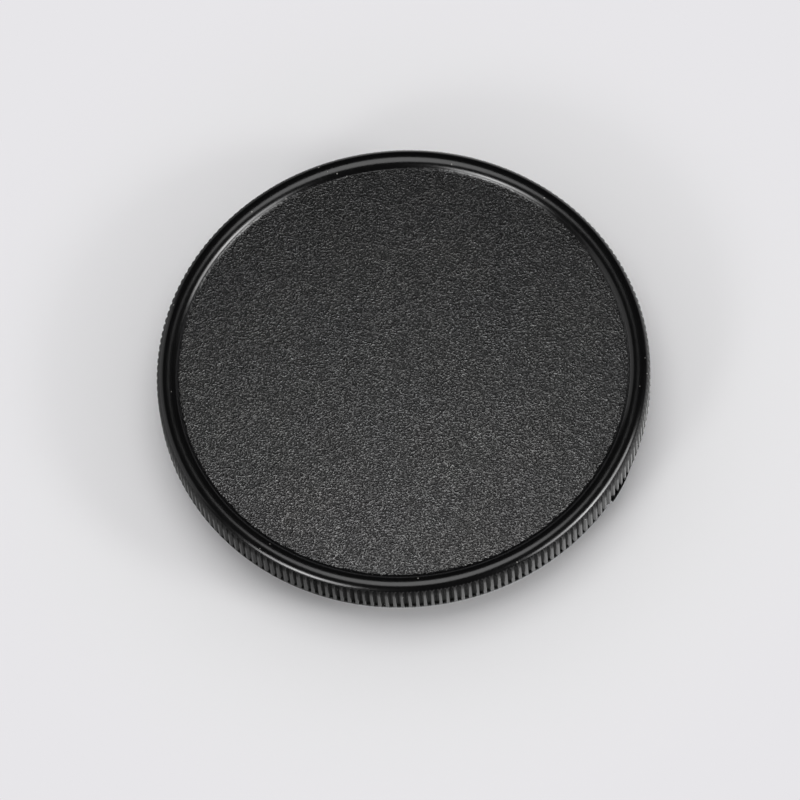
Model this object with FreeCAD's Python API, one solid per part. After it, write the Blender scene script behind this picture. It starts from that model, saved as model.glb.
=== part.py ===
import FreeCAD, Part
import math
import os

# Push-and-turn body cap for a camera with a four-lug bayonet mount, moulded in one piece of black plastic.
# Millimetres. The origin is the centre of the collar's foot, and +Z points out through the face.

# Disc: a thin face inside a deeper skirt
cap_radius = 27.65         # over the crests of the flutes
skirt_height = 3.5         # from the skirt's edge up to the sunken field
skirt_wall = 2.35          # from the flute crests in to the relief channel
face_thickness = 1.8       # of the plate under the field

# Bead: the rounded rim that stands round the field and rolls over into the flutes
crest_inset = 1.2          # from the flute crests in to the bead's crest, the radius of the shoulder
bead_rise = 0.75           # of the crest over the field
bead_radius = 1.45         # of the bead's inner side
bead_foot_radius = 0.35    # of the hollow where the bead meets the field

# Lip: the plain ring under the flutes, whose lower face rests on the camera's flange
lip_overhang = 0.05        # past the flute crests
lip_height = 0.15
lip_round = 0.05           # of its lower outer edge

# Flutes: fine grooves down the skirt, each ending in a small shelf on the lip
flute_count = 204
flute_depth = 0.36
flute_width = 0.5          # across the mouth of a groove
cutter_margin = 0.03       # of a groove's cutter outside the flute crests, inside the lip's edge

# Bayonet: a collar with four lugs that turn in behind the claws of the camera's mount
throat_radius = 22.0       # of the mount that the cap closes
lug_clearance = 0.1        # of the lugs inside the throat
collar_radius = 20.4       # passes inside the claws
collar_wall = 1.6
collar_depth = 5.0         # from the skirt's edge down to the collar's foot
lug_count = 4
lug_sweep_deg = 40.0
lug_thickness = 1.4
claw_thickness = 1.5       # between the flange and the back of a claw
lug_bevel = 0.4            # round the lower outer edge of a lug
lug_root = 0.6             # of a lug inside the collar's wall
ramp_length = 3.0          # of the lead-in at a lug's first end
ramp_drop = 0.5
ramp_margin = 1.0          # of the ramp's cutter past the lug
stop_sweep_deg = 5.0       # of the block that ends the turn at the first lug
first_lug_deg = 25.0

# Corners of the underside
edge_bevel = 0.3
root_bevel = 0.4

# Damage on the lip: pushed out over a short stretch, then broken away beside it
bulge_azimuth_deg = -39.1
bulge_rise = 0.27
bulge_radius = 13.5
chip_azimuth_deg = -40.3
chip_length = 1.1
chip_depth = 0.15

# Levels and radii that follow
seat_level = collar_depth
lip_top = seat_level + lip_height
lip_radius = cap_radius + lip_overhang
field_level = seat_level + skirt_height
roof_level = field_level - face_thickness
crest_level = field_level + bead_rise
crest_radius = cap_radius - crest_inset
channel_radius = cap_radius - skirt_wall
bore_radius = collar_radius - collar_wall
lug_radius = throat_radius - lug_clearance
lug_top = seat_level - claw_thickness
lug_bottom = lug_top - lug_thickness

AXIS_FOOT = FreeCAD.Vector(0, 0, 0)
AXIS = FreeCAD.Vector(0, 0, 1)


def at(radius, level):
    """A point of the half section, in the XZ plane."""
    return FreeCAD.Vector(radius, 0, level)


def line(start, end):
    return Part.LineSegment(start, end).toShape()


def arc(centre, radius, start_deg, end_deg):
    """An arc of the half section between two angles, measured from +X towards +Z."""
    angles = (start_deg, (start_deg + end_deg) / 2, end_deg)
    turned = [math.radians(angle) for angle in angles]
    points = [centre + at(radius * math.cos(turn), radius * math.sin(turn)) for turn in turned]
    return Part.Arc(*points).toShape()


def bevelled_run(corners):
    """Edges through (radius, level, bevel) corners, each inner corner cut off by its bevel."""
    points = [at(radius, level) for radius, level, bevel in corners]
    edges = []
    last_end = points[0]
    for before, point, after, corner in zip(points, points[1:], points[2:], corners[1:]):
        bevel = corner[2]
        start = point + (before - point).normalize() * bevel
        end = point + (after - point).normalize() * bevel
        edges.append(line(last_end, start))
        edges.append(line(start, end))
        last_end = end
    edges.append(line(last_end, points[-1]))
    return edges


def bead_edges():
    """The bead from the field to the top of the skirt: a hollow foot, the inner side and the shoulder."""
    bead_centre = at(crest_radius, crest_level - bead_radius)
    foot_level = field_level + bead_foot_radius
    centres_apart = bead_radius + bead_foot_radius
    lean_deg = math.degrees(math.asin((foot_level - bead_centre.z) / centres_apart))
    foot_radius = crest_radius - centres_apart * math.cos(math.radians(lean_deg))
    shoulder_centre = at(crest_radius, crest_level - crest_inset)
    return [
        line(at(0, field_level), at(foot_radius, field_level)),
        arc(at(foot_radius, foot_level), bead_foot_radius, -90, -lean_deg),
        arc(bead_centre, bead_radius, 180 - lean_deg, 90),
        arc(shoulder_centre, crest_inset, 90, 0),
    ]


def skirt_edges():
    """The skirt's side, down from the shoulder, out on the lip and round its lower edge."""
    round_level = seat_level + lip_round
    return [
        line(at(cap_radius, crest_level - crest_inset), at(cap_radius, lip_top)),
        line(at(cap_radius, lip_top), at(lip_radius, lip_top)),
        line(at(lip_radius, lip_top), at(lip_radius, round_level)),
        arc(at(lip_radius - lip_round, round_level), lip_round, 0, -90),
    ]


def cap_body():
    """The whole half section turned once round the axis."""
    underside = [
        (lip_radius - lip_round, seat_level, 0),
        (channel_radius, seat_level, edge_bevel),
        (channel_radius, roof_level, root_bevel),
        (collar_radius, roof_level, root_bevel),
        (collar_radius, 0, edge_bevel),
        (bore_radius, 0, edge_bevel),
        (bore_radius, roof_level, root_bevel),
        (0, roof_level, 0),
    ]
    section = bead_edges() + skirt_edges() + bevelled_run(underside)
    section.append(line(at(0, roof_level), at(0, field_level)))
    return Part.Face(Part.Wire(section)).revolve(AXIS_FOOT, AXIS, 360)


def flute_cutters():
    """One V-shaped groove cutter for each flute, standing on the lip and open at the shoulder."""
    floor_radius = cap_radius - flute_depth
    outer_radius = cap_radius + cutter_margin
    half_mouth = flute_width / 2 * (flute_depth + cutter_margin) / flute_depth
    outline = [
        FreeCAD.Vector(floor_radius, 0, lip_top),
        FreeCAD.Vector(outer_radius, -half_mouth, lip_top),
        FreeCAD.Vector(outer_radius, half_mouth, lip_top),
    ]
    groove = Part.Face(Part.makePolygon(outline + outline[:1]))
    cutter = groove.extrude(AXIS * (crest_level - lip_top))
    return [cutter.rotated(AXIS_FOOT, AXIS, 360 * turn / flute_count) for turn in range(flute_count)]


def sector(corners, start_deg, sweep_deg):
    """A closed section of (radius, level) corners turned through part of a circle."""
    points = [at(radius, level) for radius, level in corners]
    swept = Part.Face(Part.makePolygon(points + points[:1])).revolve(AXIS_FOOT, AXIS, sweep_deg)
    return swept.rotated(AXIS_FOOT, AXIS, start_deg)


def lug(start_deg):
    """A lug with a bevelled foot, rooted in the collar, and a ramp that leads it in behind a claw."""
    root_radius = collar_radius - lug_root
    plain = sector([
        (root_radius, lug_bottom),
        (lug_radius - lug_bevel, lug_bottom),
        (lug_radius, lug_bottom + lug_bevel),
        (lug_radius, lug_top),
        (root_radius, lug_top),
    ], start_deg, lug_sweep_deg)
    outer = lug_radius + ramp_margin
    ramp = [
        FreeCAD.Vector(root_radius, -ramp_margin, lug_top - ramp_drop * (1 + ramp_margin / ramp_length)),
        FreeCAD.Vector(root_radius, ramp_length, lug_top),
        FreeCAD.Vector(root_radius, ramp_length, lug_top + ramp_margin),
        FreeCAD.Vector(root_radius, -ramp_margin, lug_top + ramp_margin),
    ]
    wedge = Part.Face(Part.makePolygon(ramp + ramp[:1])).extrude(FreeCAD.Vector(outer - root_radius, 0, 0))
    return plain.cut(wedge.rotated(AXIS_FOOT, AXIS, start_deg))


def lugs():
    """The four lugs, and the block behind the first that stops the turn against a claw."""
    pieces = [lug(first_lug_deg + 360 * turn / lug_count) for turn in range(lug_count)]
    stop_start = first_lug_deg + lug_sweep_deg - stop_sweep_deg
    stop_inner = collar_radius - lug_root
    stop = sector([
        (stop_inner, lug_top - lug_thickness / 2),
        (lug_radius, lug_top - lug_thickness / 2),
        (lug_radius, roof_level),
        (stop_inner, roof_level),
    ], stop_start, stop_sweep_deg)
    return pieces + [stop]


def lip_bulge():
    """The pushed-out stretch of the lip: a tighter arc that leaves its edge and ends at the break."""
    centre = at(lip_radius + bulge_rise - bulge_radius, seat_level + lip_round)
    disc = Part.makeCylinder(bulge_radius, lip_height - lip_round, centre, AXIS, 180)
    skirt_only = Part.makeCylinder(channel_radius, lip_height - lip_round, at(0, seat_level + lip_round))
    return disc.cut(skirt_only).rotated(AXIS_FOOT, AXIS, bulge_azimuth_deg)


def lip_chip():
    """The broken place: a shallow bite out of the lip up to the feet of the flutes."""
    bite_radius = (chip_length ** 2 / 4 + chip_depth ** 2) / (2 * chip_depth)
    centre = at(lip_radius - chip_depth + bite_radius, seat_level)
    bite = Part.makeCylinder(bite_radius, lip_height, centre)
    return bite.rotated(AXIS_FOOT, AXIS, chip_azimuth_deg)


body_cap = cap_body().cut(flute_cutters())
body_cap = body_cap.fuse(lugs() + [lip_bulge()]).cut(lip_chip()).removeSplitter()

os.makedirs("parts", exist_ok=True)
body_cap.exportStep("parts/body_cap.step")
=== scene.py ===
import math

import bpy
import numpy as np
from mathutils import Matrix, Vector


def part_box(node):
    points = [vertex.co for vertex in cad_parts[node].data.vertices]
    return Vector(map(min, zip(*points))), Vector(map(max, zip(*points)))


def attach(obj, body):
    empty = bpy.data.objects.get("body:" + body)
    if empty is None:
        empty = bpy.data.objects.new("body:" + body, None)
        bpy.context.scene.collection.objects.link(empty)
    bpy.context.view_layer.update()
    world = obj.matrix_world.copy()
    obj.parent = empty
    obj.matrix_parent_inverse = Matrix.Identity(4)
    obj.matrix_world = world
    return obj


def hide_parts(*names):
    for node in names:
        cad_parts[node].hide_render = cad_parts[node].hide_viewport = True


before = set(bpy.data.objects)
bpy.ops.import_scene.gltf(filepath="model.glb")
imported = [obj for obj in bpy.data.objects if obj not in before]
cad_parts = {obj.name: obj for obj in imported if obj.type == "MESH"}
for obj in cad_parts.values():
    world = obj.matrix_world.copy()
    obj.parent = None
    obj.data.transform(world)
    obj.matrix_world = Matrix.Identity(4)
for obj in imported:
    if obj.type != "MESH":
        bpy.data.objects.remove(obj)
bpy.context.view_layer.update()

# The face: the round plate in the middle of the one black moulding. The etched mould gives its
# sunken field a fine leather-like grain; its underside comes smooth off the core of the mould.
cap_low, cap_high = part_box("body_cap")
lip_radius = (cap_high.x - cap_low.x) / 2
crest_level = cap_high.z
bead_rise = 0.00075
field_level = crest_level - bead_rise
face_thickness = 0.0018
roof_level = field_level - face_thickness
face_radius = 0.02515
face_rows = 306
grain_cell = 0.0003
grain_depth = 0.000004
pebble_bump = 0.00008
# The grain's hollows are painted darker than its tops: a painted shade in the hollows, a painted sheen on
# the tops.
shaded_hollow_tone = 0.018
sheen_top_tone = 0.18
underside_tone = 0.01


def smooth_noise(x, y, cell, seed):
    """Noise on the plane between -1 and 1: random heights at the corners of a square lattice,
    blended between the corners by the ease 6t^5 - 15t^4 + 10t^3 of the distance across a cell."""
    lattice = 256
    heights = np.random.default_rng(seed).uniform(-1, 1, (lattice, lattice))
    column = np.floor(x / cell).astype(int)
    row = np.floor(y / cell).astype(int)
    across = x / cell - column
    along = y / cell - row
    across = across**3 * (across * (6 * across - 15) + 10)
    along = along**3 * (along * (6 * along - 15) + 10)
    column, next_column = column % lattice, (column + 1) % lattice
    row, next_row = row % lattice, (row + 1) % lattice
    low = heights[column, row] * (1 - across) + heights[next_column, row] * across
    high = heights[column, next_row] * (1 - across) + heights[next_column, next_row] * across
    return low * (1 - along) + high * along


def leather_grain(x, y):
    """Height of the grain, about -1 to 1: pebbles of one noise with half as much of a noise twice
    as fine, read at places that a slow noise pushes aside, so that they stretch and turn."""
    push = 0.00015
    slow_cell = 0.0014
    warped_x = x + push * smooth_noise(x, y, slow_cell, 11)
    warped_y = y + push * smooth_noise(x, y, slow_cell, 12)
    coarse = smooth_noise(warped_x, warped_y, grain_cell, 13)
    fine = smooth_noise(warped_x, warped_y, grain_cell / 2, 14)
    return coarse + 0.5 * fine


def disc_places(rows, radius):
    """A square grid laid over a disc with equal areas: each square ring of the grid becomes a
    circle, and the share of the way along its side becomes the share of a quarter turn."""
    side = np.linspace(-1, 1, rows + 1)
    u, v = np.meshgrid(side, side, indexing="ij")
    wide = np.abs(u) >= np.abs(v)
    ring = np.where(wide, u, v)
    along = np.where(wide, v, u)
    quarter = math.pi / 4 * np.divide(along, ring, out=np.zeros_like(ring), where=ring != 0)
    turn = np.where(wide, quarter, math.pi / 2 - quarter)
    return radius * ring * np.cos(turn), radius * ring * np.sin(turn)


def grid_quads(numbers):
    """The four corners of every cell of a grid of vertex numbers, anticlockwise."""
    corners = (numbers[:-1, :-1], numbers[1:, :-1], numbers[1:, 1:], numbers[:-1, 1:])
    return np.stack(corners, axis=-1).reshape(-1, 4)


def add_piece(name, points, faces, sharp_deg, material):
    """A mesh object at the origin from an array of points and a list of faces, smooth except
    where two faces meet at more than the given angle, riding on the one body of the cap."""
    mesh = bpy.data.meshes.new(name)
    mesh.from_pydata(points, [], faces)
    mesh.shade_smooth()
    mesh.set_sharp_from_angle(angle=math.radians(sharp_deg))
    mesh.materials.append(material)
    piece = bpy.data.objects.new(name, mesh)
    bpy.context.scene.collection.objects.link(piece)
    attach(piece, "root")
    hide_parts("body_cap")


def face_mesh():
    """The grained disc on top, its height the field's level plus the grain, closed by a straight
    edge down to a flat underside that fans in to the axis."""
    x, y = disc_places(face_rows, face_radius)
    top = np.stack((x, y, field_level + grain_depth * leather_grain(x, y)), axis=-1).reshape(-1, 3)
    numbers = np.arange(len(top)).reshape(x.shape)
    sides = (numbers[:-1, 0], numbers[-1, :-1], numbers[:0:-1, -1], numbers[0, :0:-1])
    edge = np.concatenate(sides)
    foot = top[edge].copy()
    foot[:, 2] = roof_level
    foot_numbers = len(top) + np.arange(len(edge))
    axis_number = len(top) + len(edge)
    points = np.concatenate((top, foot, [[0, 0, roof_level]]))
    ring = np.stack((edge, foot_numbers), axis=1)
    ring = np.concatenate((ring, ring[:1]))
    walls = grid_quads(ring)[:, ::-1]
    fan = np.stack((np.roll(foot_numbers, -1), foot_numbers, np.full(len(edge), axis_number)), axis=1)
    return points, grid_quads(numbers).tolist() + walls.tolist() + fan.tolist()


def add_node(tree, kind, values=None, **settings):
    """A shader node with its settings and the values of its unlinked inputs."""
    node = tree.nodes.new("ShaderNode" + kind)
    for setting, value in settings.items():
        setattr(node, setting, value)
    for socket, value in (values or {}).items():
        node.inputs[socket].default_value = value
    return node


def new_group(name, inputs, outputs):
    """An empty node group with float inputs, given as names and defaults, and float outputs."""
    group = bpy.data.node_groups.new(name, "ShaderNodeTree")
    for label, default in inputs.items():
        socket = group.interface.new_socket(label, in_out="INPUT", socket_type="NodeSocketFloat")
        socket.default_value = default
    for label in outputs:
        group.interface.new_socket(label, in_out="OUTPUT", socket_type="NodeSocketFloat")
    return group, group.nodes.new("NodeGroupInput"), group.nodes.new("NodeGroupOutput")


def handling_group():
    """Traces of handling: a slow cloud where the shine is rubbed, and fine hairlines, which are
    thin level lines of a noise stretched along one direction."""
    group, given, result = new_group(
        "handling_traces", {"Clouds per metre": 150.0, "Hairline width": 0.012}, ["Cloud", "Hairline"])
    link = group.links.new
    place = add_node(group, "TexCoord")
    cloud = add_node(group, "TexNoise", {"Detail": 3.0, "Roughness": 0.55})
    link(place.outputs["Object"], cloud.inputs["Vector"])
    link(given.outputs["Clouds per metre"], cloud.inputs["Scale"])
    link(cloud.outputs["Fac"], result.inputs["Cloud"])
    stretch = add_node(group, "Mapping", {"Rotation": (0.4, 0.3, 0.7), "Scale": (260.0, 35.0, 260.0)})
    link(place.outputs["Object"], stretch.inputs["Vector"])
    streaks = add_node(group, "TexNoise", {"Scale": 1.0, "Detail": 1.0})
    link(stretch.outputs["Vector"], streaks.inputs["Vector"])
    offset = add_node(group, "Math", {1: 0.5}, operation="SUBTRACT")
    link(streaks.outputs["Fac"], offset.inputs[0])
    distance = add_node(group, "Math", operation="ABSOLUTE")
    link(offset.outputs["Value"], distance.inputs[0])
    line = add_node(group, "Math", operation="LESS_THAN")
    link(distance.outputs["Value"], line.inputs[0])
    link(given.outputs["Hairline width"], line.inputs[1])
    link(line.outputs["Value"], result.inputs["Hairline"])
    return group


def grain_group():
    """Etched grain: a fine noise, read at places that a slow noise pushes aside; the slow noise is
    also the patches in which the painted sheen on the grain's tops varies."""
    group, given, result = new_group(
        "mould_grain", {"Pebbles per metre": 5300.0, "Push": 0.0001}, ["Pebble", "Patch"])
    link = group.links.new
    place = add_node(group, "TexCoord")
    slow = add_node(group, "TexNoise", {"Scale": 700.0, "Detail": 1.0})
    link(place.outputs["Object"], slow.inputs["Vector"])
    push = add_node(group, "VectorMath", operation="SCALE")
    link(slow.outputs["Color"], push.inputs[0])
    link(given.outputs["Push"], push.inputs["Scale"])
    warped = add_node(group, "VectorMath", operation="ADD")
    link(place.outputs["Object"], warped.inputs[0])
    link(push.outputs["Vector"], warped.inputs[1])
    pebbles = add_node(group, "TexNoise", {"Detail": 1.0, "Roughness": 0.6})
    link(warped.outputs["Vector"], pebbles.inputs["Vector"])
    link(given.outputs["Pebbles per metre"], pebbles.inputs["Scale"])
    link(pebbles.outputs["Fac"], result.inputs["Pebble"])
    link(slow.outputs["Fac"], result.inputs["Patch"])
    return group


handling_traces = handling_group()
mould_grain = grain_group()


def place_group(tree, group, values):
    """A node group in a material, with that material's own values."""
    node = tree.nodes.new("ShaderNodeGroup")
    node.node_tree = group
    for label, value in values.items():
        node.inputs[label].default_value = value
    return node


def add_ramp(tree, stops):
    """A colour ramp through stops of position and colour, given in rising order."""
    node = add_node(tree, "ValToRGB")
    elements = node.color_ramp.elements
    elements.remove(elements[1])
    for position, color in stops[1:]:
        elements.new(position)
    for element, (position, color) in zip(elements, stops):
        element.position = position
        element.color = (*color, 1)
    return node


def new_material(name):
    """A material with a Principled shader, and its links."""
    material = bpy.data.materials.new(name)
    material.use_nodes = True
    tree = material.node_tree
    return material, tree, tree.nodes["Principled BSDF"]


def grained_black():
    """Black plastic with the finest of the grain as bump on the outer side. Its tops go in as Metallic
    with a dark grey tone, a little warmer in slow patches, a painted sheen that makes them glint, and its
    hollows stay darker, a painted shade; the sheen dies away at a low angle, where the pebbles hide one
    another."""
    material, tree, plastic = new_material("grained_black")
    link = tree.links.new
    plastic.inputs["Specular IOR Level"].default_value = 1.0
    plastic.inputs["Specular Tint"].default_value = (0.2, 0.2, 0.2, 1)
    pebbles = place_group(tree, mould_grain, {})
    place = add_node(tree, "TexCoord")
    height = add_node(tree, "SeparateXYZ")
    link(place.outputs["Object"], height.inputs["Vector"])
    outer = add_node(tree, "Math", {1: field_level - face_thickness / 2}, operation="GREATER_THAN")
    link(height.outputs["Z"], outer.inputs[0])
    etched = add_node(tree, "Math", operation="MULTIPLY")
    link(pebbles.outputs["Pebble"], etched.inputs[0])
    link(outer.outputs["Value"], etched.inputs[1])
    bump = add_node(tree, "Bump", {"Strength": 1.0, "Distance": pebble_bump})
    link(etched.outputs["Value"], bump.inputs["Height"])
    link(bump.outputs["Normal"], plastic.inputs["Normal"])
    # The grain's height, made into a painted sheen on the tops and a painted shade in the hollows.
    rise = add_node(tree, "MapRange", {"From Min": 0.36, "From Max": 0.72})
    link(etched.outputs["Value"], rise.inputs["Value"])
    top_sheen_curve = add_node(tree, "Math", {1: 1.5}, operation="POWER")
    link(rise.outputs["Result"], top_sheen_curve.inputs[0])
    patch = add_node(tree, "MapRange", {"From Min": 0.3, "From Max": 0.7, "To Min": 0.85, "To Max": 1.15})
    link(pebbles.outputs["Patch"], patch.inputs["Value"])
    wear_and_sheen = add_node(tree, "Math", operation="MULTIPLY", use_clamp=True)
    link(top_sheen_curve.outputs["Value"], wear_and_sheen.inputs[0])
    link(patch.outputs["Result"], wear_and_sheen.inputs[1])
    sheen = add_node(tree, "MapRange", {"From Max": 0.12})
    link(wear_and_sheen.outputs["Value"], sheen.inputs["Value"])
    link(sheen.outputs["Result"], plastic.inputs["Metallic"])
    traces = place_group(tree, handling_traces, {"Clouds per metre": 110.0})
    tint = add_ramp(tree, [(0.35, (0.94, 0.94, 0.945)), (0.75, (1.0, 0.995, 0.97))])
    link(traces.outputs["Cloud"], tint.inputs["Fac"])
    # Base tone from a painted shade in the hollows to a painted sheen on the tops.
    shade_and_sheen_tone = add_node(tree, "MapRange", {"To Min": shaded_hollow_tone, "To Max": sheen_top_tone})
    link(wear_and_sheen.outputs["Value"], shade_and_sheen_tone.inputs["Value"])
    level = add_node(tree, "Mix", {"A": underside_tone}, data_type="FLOAT")
    link(outer.outputs["Value"], level.inputs["Factor"])
    link(shade_and_sheen_tone.outputs["Result"], level.inputs["B"])
    tone = add_node(tree, "VectorMath", operation="SCALE")
    link(tint.outputs["Color"], tone.inputs[0])
    link(level.outputs["Result"], tone.inputs["Scale"])
    link(tone.outputs["Vector"], plastic.inputs["Base Color"])
    shine = add_node(tree, "MapRange", {"To Min": 0.24, "To Max": 0.28})
    link(traces.outputs["Cloud"], shine.inputs["Value"])
    link(shine.outputs["Result"], plastic.inputs["Roughness"])
    return material


face_points, face_faces = face_mesh()
add_piece("grained_face", face_points, face_faces, 60, grained_black())

# The rim: the smooth bead round the field and the fluted skirt under it, part of the same moulding.
# Its mould was polished, so it shines; the flutes run out on the shoulder and end on a plain lip.
lip_overhang = 0.00005
cap_radius = lip_radius - lip_overhang
lip_inset = 0.00006
crest_inset = 0.0012
bead_radius = 0.00145
bead_foot_radius = 0.0003
sharp_foot_radius = 0.00006
foot_marks = 450
foot_softness = 0.05
foot_swing = 1.1
skirt_height = 0.0035
skirt_wall = 0.00235
lip_height = 0.00025
lip_round = 0.00005
lip_edge = 0.00002
edge_bevel = 0.0003
root_bevel = 0.0004
overlap = 0.0003
flute_count = 204
flute_depth = 0.00048
flute_mouth = 0.00059
flute_variation = 0.05
flute_full_deg = 29
flute_end_deg = 36
flute_foot_share = 0.5
half_flute_places = [0.12, 0.24, 0.3, 0.346, 0.385]
bulge_end_deg = -39.1
bulge_sweep_deg = 9.5
bulge_rise = 0.00023
chip_sweep_deg = 2.3
chip_depth = 0.00015
chip_raggedness = 0.3


def arc_points(radius, level, size, start_deg, end_deg, count):
    """Points of a circular arc of the half section, as rows of radius and level."""
    turn = np.radians(np.linspace(start_deg, end_deg, count))
    return np.stack((radius + size * np.cos(turn), level + size * np.sin(turn)), axis=1)


def rim_profile(foot_size):
    """The half section of the rim as a closed loop, and how deep the flutes cut each of its rows and
    which belong to the lip: up the bead's foot, over the crest and down the side, then in under
    the skirt, up its channel and back inside the face."""
    crest_radius = cap_radius - crest_inset
    seat_level = field_level - skirt_height
    lip_top = seat_level + lip_height
    channel_radius = cap_radius - skirt_wall
    bead_centre_level = crest_level - bead_radius
    foot_level = field_level + foot_size
    apart = bead_radius + foot_size
    lean_deg = math.degrees(math.asin((foot_level - bead_centre_level) / apart))
    foot_radius = crest_radius - apart * math.cos(math.radians(lean_deg))
    shoulder_level = crest_level - crest_inset
    shoulder_deg = np.array([80, 70, 61, 53, 46, 41, 36, 33.5, 31.5, 29, 20, 10, 0])
    inside = [[foot_radius - overlap, field_level - overlap]]
    foot = arc_points(foot_radius, foot_level, foot_size, -90, -lean_deg, 6)
    bead = arc_points(crest_radius, bead_centre_level, bead_radius, 180 - lean_deg, 90, 9)[1:]
    shoulder_turn = np.radians(shoulder_deg)
    shoulder = np.stack((crest_radius + crest_inset * np.cos(shoulder_turn),
                         shoulder_level + crest_inset * np.sin(shoulder_turn)), axis=1)
    wall = [[cap_radius, (shoulder_level + lip_top) / 2], [cap_radius, lip_top]]
    lip_reach = cap_radius - lip_inset
    lip = np.concatenate((
        [[lip_reach - lip_edge, lip_top], [lip_reach, lip_top - lip_edge]],
        arc_points(lip_reach - lip_round, seat_level + lip_round, lip_round, 0, -90, 3)))
    under = [
        [channel_radius + edge_bevel, seat_level],
        [channel_radius, seat_level + edge_bevel],
        [channel_radius, roof_level - root_bevel],
        [channel_radius - root_bevel, roof_level],
        [channel_radius - root_bevel - overlap, roof_level + overlap],
    ]
    runs = [inside, foot, bead, shoulder, wall, lip, under]
    lengths = [len(run) for run in runs]
    fluted = np.zeros(sum(lengths))
    fluted[sum(lengths[:4]):sum(lengths[:5])] = 1, flute_foot_share
    fading = np.clip((flute_end_deg - shoulder_deg) / (flute_end_deg - flute_full_deg), 0, 1)
    shoulder_start = sum(lengths[:3])
    fluted[shoulder_start:shoulder_start + len(shoulder)] = fading * fading * (3 - 2 * fading)
    lipped = np.repeat([0, 0, 0, 0, 0, 1, 0], lengths)
    return np.concatenate(runs), fluted[:, None], lipped[:, None]


def rim_mesh():
    """The rim's half section at every column round the axis. A flute is a V in the angle, of
    even depth down the side, and its depth eases to nothing over a few degrees of the shoulder. The
    hollow at the bead's foot is sharper and softer by turns. The lip alone is pushed out along a
    ramp, which ends in a ragged bite."""
    section, fluted, lipped = rim_profile(bead_foot_radius)
    sharp_section = rim_profile(sharp_foot_radius)[0]
    mirrored = [-share for share in half_flute_places[::-1]]
    places = np.array([-0.5] + mirrored + [0.0] + half_flute_places)
    turn = (np.arange(flute_count)[:, None] + places).ravel() * 2 * math.pi / flute_count
    columns = len(turn)
    pitch = 2 * math.pi * cap_radius / flute_count
    groove = np.tile(np.clip(1 - np.abs(places) * pitch / (flute_mouth / 2), 0, 1), flute_count)
    uneven = np.random.default_rng(21).standard_normal(flute_count)
    depth = flute_depth * (1 + flute_variation * uneven)
    foot_place = turn % (2 * math.pi) * foot_marks / (2 * math.pi)
    soft = np.clip(foot_softness + foot_swing * smooth_noise(foot_place, np.zeros(columns), 1.0, 23), 0, 1)
    section = sharp_section[:, None] + (section - sharp_section)[:, None] * soft[None, :, None]
    radius = section[..., 0] - fluted * np.repeat(depth, len(places)) * groove
    level = section[..., 1]
    azimuth_deg = np.degrees(np.arctan2(np.sin(turn), np.cos(turn)))
    past_end = azimuth_deg - bulge_end_deg
    ramp = np.clip(past_end / bulge_sweep_deg, 0, 1)
    bulge = (past_end >= 0) * (1 - ramp**2)
    chip = (past_end < 0) * (past_end > -chip_sweep_deg)
    ragged = 1 - chip_raggedness * np.random.default_rng(22).uniform(0, 1, columns)
    push = bulge_rise * bulge - chip_depth * ragged * chip
    radius = radius + lipped * push[None, :]
    points = np.stack((radius * np.cos(turn), radius * np.sin(turn), level), axis=-1)
    numbers = np.arange(points.shape[0] * columns).reshape(points.shape[:2])
    numbers = np.pad(numbers, ((0, 1), (0, 1)), mode="wrap")
    return points.reshape(-1, 3), grid_quads(numbers)


def dust_group():
    """Settled dust: the middle of a scattered few of the cells of a Voronoi pattern."""
    group, given, result = new_group(
        "settled_dust", {"Cells per metre": 700.0, "Share": 0.05, "Size": 0.07}, ["Speck"])
    link = group.links.new
    place = add_node(group, "TexCoord")
    cells = add_node(group, "TexVoronoi", {"Randomness": 1.0})
    link(place.outputs["Object"], cells.inputs["Vector"])
    link(given.outputs["Cells per metre"], cells.inputs["Scale"])
    middle = add_node(group, "Math", operation="LESS_THAN")
    link(cells.outputs["Distance"], middle.inputs[0])
    link(given.outputs["Size"], middle.inputs[1])
    lot = add_node(group, "SeparateColor")
    link(cells.outputs["Color"], lot.inputs["Color"])
    chosen = add_node(group, "Math", operation="LESS_THAN")
    link(lot.outputs["Red"], chosen.inputs[0])
    link(given.outputs["Share"], chosen.inputs[1])
    speck = add_node(group, "Math", operation="MULTIPLY")
    link(middle.outputs["Value"], speck.inputs[0])
    link(chosen.outputs["Value"], speck.inputs[1])
    link(speck.outputs["Value"], result.inputs["Speck"])
    return group


settled_dust = dust_group()
foot_grain_start = 0.00005
foot_grain_rise = 0.00025
ripple_share = 0.06
rim_bump = 0.00004


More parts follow.
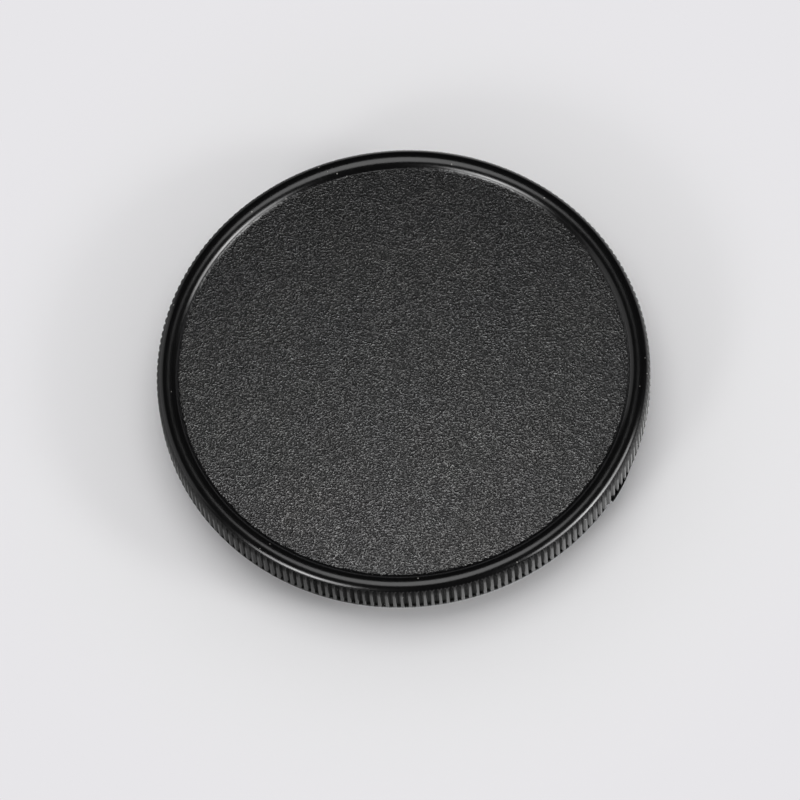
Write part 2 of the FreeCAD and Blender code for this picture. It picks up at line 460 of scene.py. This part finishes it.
def polished_black():
    """Black plastic with a soft shine, a little rubbed in clouds and hairlines, and some dust."""
    material, tree, plastic = new_material("polished_black")
    link = tree.links.new
    plastic.inputs["Specular IOR Level"].default_value = 0.4
    dust = place_group(tree, settled_dust, {"Cells per metre": 1000.0, "Share": 0.2, "Size": 0.085})
    traces = place_group(tree, handling_traces, {"Clouds per metre": 260.0})
    tone = add_node(tree, "Mix", {"A": (0.0025, 0.0025, 0.0026, 1), "B": (0.22, 0.215, 0.2, 1)},
                    data_type="RGBA")
    link(dust.outputs["Speck"], tone.inputs["Factor"])
    link(tone.outputs["Result"], plastic.inputs["Base Color"])
    shine = add_node(tree, "MapRange", {"To Min": 0.16, "To Max": 0.25})
    link(traces.outputs["Cloud"], shine.inputs["Value"])
    wear_and_sheen = add_node(tree, "Math", {1: 0.02}, operation="MULTIPLY_ADD")
    link(traces.outputs["Hairline"], wear_and_sheen.inputs[0])
    link(shine.outputs["Result"], wear_and_sheen.inputs[2])
    link(wear_and_sheen.outputs["Value"], plastic.inputs["Roughness"])
    place = add_node(tree, "TexCoord")
    ripple = add_node(tree, "TexNoise", {"Scale": 2400.0, "Detail": 2.0})
    link(place.outputs["Object"], ripple.inputs["Vector"])
    height = add_node(tree, "SeparateXYZ")
    link(place.outputs["Object"], height.inputs["Vector"])
    foot = add_node(tree, "MapRange", {
        "From Min": field_level + foot_grain_start, "From Max": field_level + foot_grain_rise,
        "To Min": 1.0, "To Max": 0.0}, interpolation_type="SMOOTHSTEP")
    link(height.outputs["Z"], foot.inputs["Value"])
    flat = add_node(tree, "VectorMath", {1: (1, 1, 0)}, operation="MULTIPLY")
    link(place.outputs["Object"], flat.inputs[0])
    away = add_node(tree, "VectorMath", operation="LENGTH")
    link(flat.outputs["Vector"], away.inputs[0])
    inside = add_node(tree, "Math", {1: cap_radius - crest_inset}, operation="LESS_THAN")
    link(away.outputs["Value"], inside.inputs[0])
    above = add_node(tree, "Math", {1: field_level - overlap}, operation="GREATER_THAN")
    link(height.outputs["Z"], above.inputs[0])
    outer = add_node(tree, "Math", operation="MULTIPLY")
    link(inside.outputs["Value"], outer.inputs[0])
    link(above.outputs["Value"], outer.inputs[1])
    share = add_node(tree, "Math", operation="MULTIPLY")
    link(foot.outputs["Result"], share.inputs[0])
    link(outer.outputs["Value"], share.inputs[1])
    pebbles = place_group(tree, mould_grain, {})
    grain = add_node(tree, "Math", operation="MULTIPLY")
    link(pebbles.outputs["Pebble"], grain.inputs[0])
    link(share.outputs["Value"], grain.inputs[1])
    relief = add_node(tree, "Math", {1: ripple_share}, operation="MULTIPLY_ADD")
    link(ripple.outputs["Fac"], relief.inputs[0])
    link(grain.outputs["Value"], relief.inputs[2])
    bump = add_node(tree, "Bump", {"Strength": 1.0, "Distance": rim_bump})
    link(relief.outputs["Value"], bump.inputs["Height"])
    link(bump.outputs["Normal"], plastic.inputs["Normal"])
    return material


rim_points, rim_faces = rim_mesh()
add_piece("fluted_rim", rim_points, rim_faces[:, ::-1].tolist(), 50, polished_black())

# The bayonet: a collar under the face with four lugs that turn in behind the claws of a camera's
# mount, moulded with the rest. Each lug has a lead-in ramp, and a block behind the first ends the turn.
collar_radius = 0.0204
collar_wall = 0.0016
lug_reach = 0.0015
lug_top = 0.0035
lug_thickness = 0.0014
lug_bevel = 0.0004
lug_edge = 0.0001
lug_root = 0.00012
lug_count = 4
lug_start_deg = 25.0
lug_sweep_deg = 40.0
lug_end_deg = 0.6
stop_sweep_deg = 5.0
ramp_length = 0.003
ramp_drop = 0.0005
collar_columns = 1200


def bayonet_mesh():
    """The collar's half section at every column round the axis, as rows of radius and level. The
    lug's rows stand out by its reach times a window of the angle that eases in and out at its ends;
    its top falls along the ramp; the wall over it stands out by the stop's own window."""
    columns = np.arange(collar_columns)
    turn = 2 * math.pi * columns / collar_columns
    from_start_deg = (np.degrees(turn) - lug_start_deg) % (360 / lug_count)

    def window(start_deg, end_deg):
        rise = np.clip((from_start_deg - start_deg) / lug_end_deg, 0, 1)
        fall = np.clip((end_deg - from_start_deg) / lug_end_deg, 0, 1)
        return np.minimum(rise, fall)

    lug = lug_reach * window(0, lug_sweep_deg)
    first = (np.degrees(turn) - lug_start_deg) % 360 < 360 / lug_count
    stop = lug_reach * window(lug_sweep_deg - stop_sweep_deg, lug_sweep_deg) * first
    run = np.radians(from_start_deg) * collar_radius
    top = lug_top - ramp_drop * np.clip(1 - run / ramp_length, 0, 1) * (lug > 0)
    bottom = lug_top - lug_thickness
    bore = collar_radius - collar_wall
    edge_share = lug / lug_reach
    rows = [
        (collar_radius + np.maximum(root_bevel, stop), roof_level + overlap),
        (collar_radius + np.maximum(root_bevel, stop), roof_level),
        (collar_radius + stop, roof_level - root_bevel),
        (collar_radius + stop, top + lug_root),
        (collar_radius + np.maximum(stop, lug_root * edge_share), top),
        (collar_radius + lug - lug_edge * edge_share, top),
        (collar_radius + lug, top - lug_edge),
        (collar_radius + lug, bottom + lug_bevel),
        (collar_radius + lug - lug_bevel * edge_share, bottom),
        (collar_radius + lug_root * edge_share, bottom),
        (collar_radius, bottom - lug_root),
        (collar_radius, edge_bevel),
        (collar_radius - edge_bevel, 0),
        (bore + edge_bevel, 0),
        (bore, edge_bevel),
        (bore, roof_level - root_bevel),
        (bore - root_bevel, roof_level),
        (bore - root_bevel, roof_level + overlap),
    ]
    radius = np.stack([np.broadcast_to(row[0], turn.shape) for row in rows])
    level = np.stack([np.broadcast_to(row[1], turn.shape) for row in rows])
    points = np.stack((radius * np.cos(turn), radius * np.sin(turn), level), axis=-1)
    numbers = np.arange(radius.size).reshape(radius.shape)
    numbers = np.pad(numbers, ((0, 1), (0, 1)), mode="wrap")
    return points.reshape(-1, 3), grid_quads(numbers)


def satin_black():
    """Black plastic as the mould left it: satin, with faint swirls of flow and rubbed patches."""
    material, tree, plastic = new_material("satin_black")
    link = tree.links.new
    traces = place_group(tree, handling_traces, {"Clouds per metre": 180.0, "Hairline width": 0.02})
    tone = add_ramp(tree, [(0, (0.007, 0.007, 0.0072)), (1, (0.013, 0.013, 0.0128))])
    link(traces.outputs["Cloud"], tone.inputs["Fac"])
    link(tone.outputs["Color"], plastic.inputs["Base Color"])
    shine = add_node(tree, "MapRange", {"To Min": 0.28, "To Max": 0.42})
    link(traces.outputs["Cloud"], shine.inputs["Value"])
    link(shine.outputs["Result"], plastic.inputs["Roughness"])
    return material


bayonet_points, bayonet_faces = bayonet_mesh()
add_piece("bayonet_collar", bayonet_points, bayonet_faces[:, ::-1].tolist(), 35, satin_black())

# The studio: a pale floor that runs on into the background, a wide soft light overhead, a softbox
# at each side in front of the cap, a glowing card that only the shine shows, a painted reflection
# of the floor, and a long lens that looks steeply down.
floor_size = 6.0
floor_tone = 0.8
floor_shade = 0.85
floor_cast = np.array([1.0, 0.9885, 1.0194])
lit_radius = 0.034
blend_radius = 0.058


def seen_directly(tree):
    """1 for what the camera sees, straight or by way of a shiny or clear surface."""
    ray = add_node(tree, "LightPath")
    shiny = add_node(tree, "Math", operation="MAXIMUM")
    tree.links.new(ray.outputs["Is Camera Ray"], shiny.inputs[0])
    tree.links.new(ray.outputs["Is Glossy Ray"], shiny.inputs[1])
    clear = add_node(tree, "Math", operation="MAXIMUM")
    tree.links.new(shiny.outputs["Value"], clear.inputs[0])
    tree.links.new(ray.outputs["Is Transmission Ray"], clear.inputs[1])
    return clear.outputs["Value"]


def pale_floor():
    """A matt pale floor that takes the shadow near the cap and an even tone away from it."""
    material, tree, plastic = new_material("pale_floor")
    tree.nodes.remove(plastic)
    link = tree.links.new
    matt = add_node(tree, "BsdfDiffuse", {"Color": (floor_shade, floor_shade, floor_shade, 1)})
    even = add_node(tree, "Emission", {"Color": (*floor_tone * floor_cast, 1)})
    place = add_node(tree, "TexCoord")
    away = add_node(tree, "VectorMath", operation="LENGTH")
    link(place.outputs["Object"], away.inputs[0])
    share = add_node(tree, "MapRange", {"From Min": lit_radius, "From Max": blend_radius},
                     interpolation_type="SMOOTHSTEP")
    link(away.outputs["Value"], share.inputs["Value"])
    seen = add_node(tree, "Math", operation="MULTIPLY")
    link(share.outputs["Result"], seen.inputs[0])
    link(seen_directly(tree), seen.inputs[1])
    mix = add_node(tree, "MixShader")
    link(seen.outputs["Value"], mix.inputs["Fac"])
    link(matt.outputs["BSDF"], mix.inputs[1])
    link(even.outputs["Emission"], mix.inputs[2])
    link(mix.outputs["Shader"], tree.nodes["Material Output"].inputs["Surface"])
    return material


def add_square(name, size, level, material):
    """A flat square of the stage, centred under the cap at a level."""
    mesh = bpy.data.meshes.new(name)
    corners = size / 2 * np.array([[-1, -1, 0], [1, -1, 0], [1, 1, 0], [-1, 1, 0]])
    mesh.from_pydata(corners + [0, 0, level], [], [[0, 1, 2, 3]])
    mesh.materials.append(material)
    square = bpy.data.objects.new(name, mesh)
    bpy.context.scene.collection.objects.link(square)
    return square


add_square("floor", floor_size, 0, pale_floor())

horizon_low = 0.06
horizon_high = 0.12
dim_room = 0.012
dim_fill = 0.45


def studio_world():
    """A dim room with a pale band at the horizon, where the floor runs on into the background."""
    world = bpy.data.worlds.new("studio")
    world.use_nodes = True
    tree = world.node_tree
    link = tree.links.new
    place = add_node(tree, "TexCoord")
    heading = add_node(tree, "SeparateXYZ")
    link(place.outputs["Generated"], heading.inputs["Vector"])
    band = add_node(tree, "MapRange", {
        "From Min": horizon_low, "From Max": horizon_high, "To Min": floor_tone, "To Max": dim_room},
        interpolation_type="SMOOTHSTEP")
    link(heading.outputs["Z"], band.inputs["Value"])
    seen = add_node(tree, "Mix", {"A": dim_fill}, data_type="FLOAT")
    link(seen_directly(tree), seen.inputs["Factor"])
    link(band.outputs["Result"], seen.inputs["B"])
    cast = add_node(tree, "VectorMath", {0: floor_cast}, operation="SCALE")
    link(seen.outputs["Result"], cast.inputs["Scale"])
    link(cast.outputs["Vector"], tree.nodes["Background"].inputs["Color"])
    return world


bpy.context.scene.world = studio_world()


def softbox(name, direction, distance, shape, width, height, radiance, floor=True, shine=True):
    """An area lamp aimed at the cap from a direction; its power is pi times radiance times area. It
    can light the matt floor alone, or show in the shine alone."""
    lamp = bpy.data.lights.new(name, "AREA")
    lamp.shape = shape
    lamp.size = width
    lamp.size_y = height
    area = width * height * (math.pi / 4 if shape == "ELLIPSE" else 1)
    lamp.energy = math.pi * area * radiance
    holder = bpy.data.objects.new(name, lamp)
    heading = Vector(direction).normalized()
    holder.matrix_world = Matrix.LocRotScale(
        heading * distance, heading.to_track_quat("Z", "Y"), None)
    holder.visible_diffuse = floor
    holder.visible_glossy = shine
    bpy.context.scene.collection.objects.link(holder)


overhead = (0, 0, 1)
front_right = (0.81, -0.395, 0.49)
front_left = (-0.626, -0.648, 0.5)
back_left = (-0.88, 0.32, 0.3)
softbox("overhead_light", overhead, 0.4, "ELLIPSE", 0.33, 0.33, 2.2, shine=False)
softbox("overhead_panel", overhead, 0.16, "ELLIPSE", 0.094, 0.117, 3.5, floor=False)
softbox("right_softbox", front_right, 0.8, "RECTANGLE", 0.2, 0.17, 12.0)
softbox("right_sheet", front_right, 0.81, "RECTANGLE", 0.66, 0.29, 9.0, floor=False)
softbox("left_softbox", front_left, 0.8, "RECTANGLE", 0.16, 0.17, 12.0)
softbox("left_sheet", front_left, 0.81, "RECTANGLE", 0.44, 0.29, 9.0, floor=False)
softbox("left_card", back_left, 0.8, "RECTANGLE", 0.75, 0.52, 0.8, floor=False)

shine_card_size = 0.8
shine_card_lift = 0.0002
shine_card_reach = 0.028
shine_card_glow = 1.38
shine_card_greys = [
    (0.1, 0.28), (0.2, 0.33), (0.35, 0.52), (0.5, 0.97), (0.62, 1.0), (0.8, 0.95), (0.95, 0.72)]


def reflected_floor_card():
    """A glowing card with the cap in its middle, which the shine shows in place of the floor: a painted
    reflection, dark at the left, a painted shade, and pale at the front and right, a painted light.
    """
    material, tree, plastic = new_material("reflected_floor_card")
    tree.nodes.remove(plastic)
    link = tree.links.new
    place = add_node(tree, "TexCoord")
    across = add_node(tree, "SeparateXYZ")
    link(place.outputs["Object"], across.inputs["Vector"])
    share = add_node(tree, "MapRange", {"From Min": -shine_card_reach, "From Max": shine_card_reach})
    link(across.outputs["X"], share.inputs["Value"])
    tone = add_ramp(tree, [(position, (grey, grey, grey)) for position, grey in shine_card_greys])
    link(share.outputs["Result"], tone.inputs["Fac"])
    glow = add_node(tree, "Emission", {"Strength": shine_card_glow})
    link(tone.outputs["Color"], glow.inputs["Color"])
    link(glow.outputs["Emission"], tree.nodes["Material Output"].inputs["Surface"])
    return material


# The card glows with a painted reflection of the floor; the camera, the matt surfaces and the shadows
# don't see it.
card = add_square("shine_card", shine_card_size, shine_card_lift, reflected_floor_card())
card.visible_camera = False
card.visible_diffuse = False
card.visible_shadow = False

view_elevation = math.radians(64.6)
view_roll = math.radians(-6.43)
view_distance = 0.825
view_aside = 0.00033
view_drop = 0.00344
focal_share = 7375 / 800

level_right = Vector((1, 0, 0))
ahead = Vector((0, math.cos(view_elevation), -math.sin(view_elevation)))
level_up = level_right.cross(ahead)
view_right = math.cos(view_roll) * level_right + math.sin(view_roll) * level_up
view_up = math.cos(view_roll) * level_up - math.sin(view_roll) * level_right
camera_data = bpy.data.cameras.new("camera")
camera_data.lens = camera_data.sensor_width * focal_share
camera_data.clip_end = 20
camera = bpy.data.objects.new("camera", camera_data)
camera_place = Vector((0, 0, field_level)) - view_distance * ahead
camera_place -= view_aside * view_right + view_drop * view_up
camera.matrix_world = Matrix((view_right, view_up, -ahead)).transposed().to_4x4()
camera.location = camera_place
bpy.context.scene.collection.objects.link(camera)
bpy.context.scene.camera = camera
bpy.context.scene.view_settings.view_transform = "Standard"
